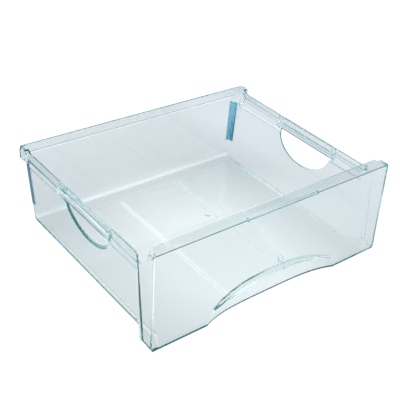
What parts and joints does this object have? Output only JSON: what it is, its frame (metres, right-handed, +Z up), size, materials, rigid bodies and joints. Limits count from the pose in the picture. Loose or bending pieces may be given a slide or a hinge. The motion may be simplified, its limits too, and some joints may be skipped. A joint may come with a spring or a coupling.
{
  "type": "freezer drawer",
  "caption": "Clear moulded freezer drawer with a wide front panel, half-moon hand hole under a ribbed bar in each side, arched finger recess low in the front and a blue strip at each rear corner.",
  "frame": {"origin": "middle of the footprint's bounding box, on the flat underside of the floor", "axes": "+X to the right along the front panel as seen from the front, +Y from the front panel to the back wall, +Z up"},
  "size_m": [0.4616, 0.3674, 0.1648],
  "materials": {
    "clear_plastic": "clear, smooth and glossy, with a faint blue-green tint at its cut edges",
    "blue_strip": "thin smooth blue strip, satin"
  },
  "bodies": {
    "root": {"drawer_tub": "clear_plastic", "left_corner_strip": "blue_strip", "right_corner_strip": "blue_strip"}
  },
  "joints": []
}
